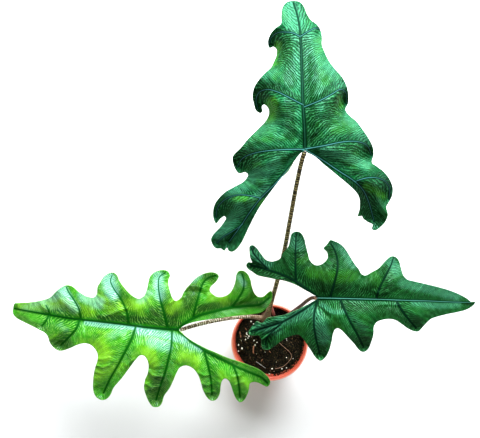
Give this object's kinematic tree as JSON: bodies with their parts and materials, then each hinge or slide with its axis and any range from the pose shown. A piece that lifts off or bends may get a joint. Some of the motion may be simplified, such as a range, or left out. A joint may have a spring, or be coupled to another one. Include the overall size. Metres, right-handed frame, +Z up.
{
  "type": "potted alocasia house plant",
  "caption": "Potted aroid with large lobed arrow-shaped leaves on mottled stalks that grow from one corm in a round tapered nursery pot of potting mix.",
  "frame": {"origin": "middle of the flat underside of the pot, on the surface the pot stands on", "axes": "+Z up along the pot's axis; +Y towards the side that the tallest leaf leans to; +X towards the tip of the right-hand leaf"},
  "size_m": [0.5835, 0.4879, 0.3573],
  "materials": {
    "pot": "smooth moulded plastic with a soft sheen",
    "soil": "loose dark potting mix with bark and perlite",
    "corm": "dry fibrous brown skin with leaf-scar rings",
    "sheath": "papery pink leaf sheath",
    "stalk": "satin brown stalk with pale mottled bands",
    "leaf_dark": "semi-gloss leathery dark green blade with sunken dark veins",
    "leaf_bright": "semi-gloss leathery bright green blade with sunken dark veins"
  },
  "bodies": {
    "root": {"pot": "pot", "soil": "soil", "corm": "corm", "new_leaf_sheath": "sheath", "stalk_upper": "stalk", "stalk_left": "stalk", "stalk_right": "stalk", "blade_upper": "leaf_dark", "blade_left": "leaf_bright", "blade_right": "leaf_dark"}
  },
  "joints": []
}
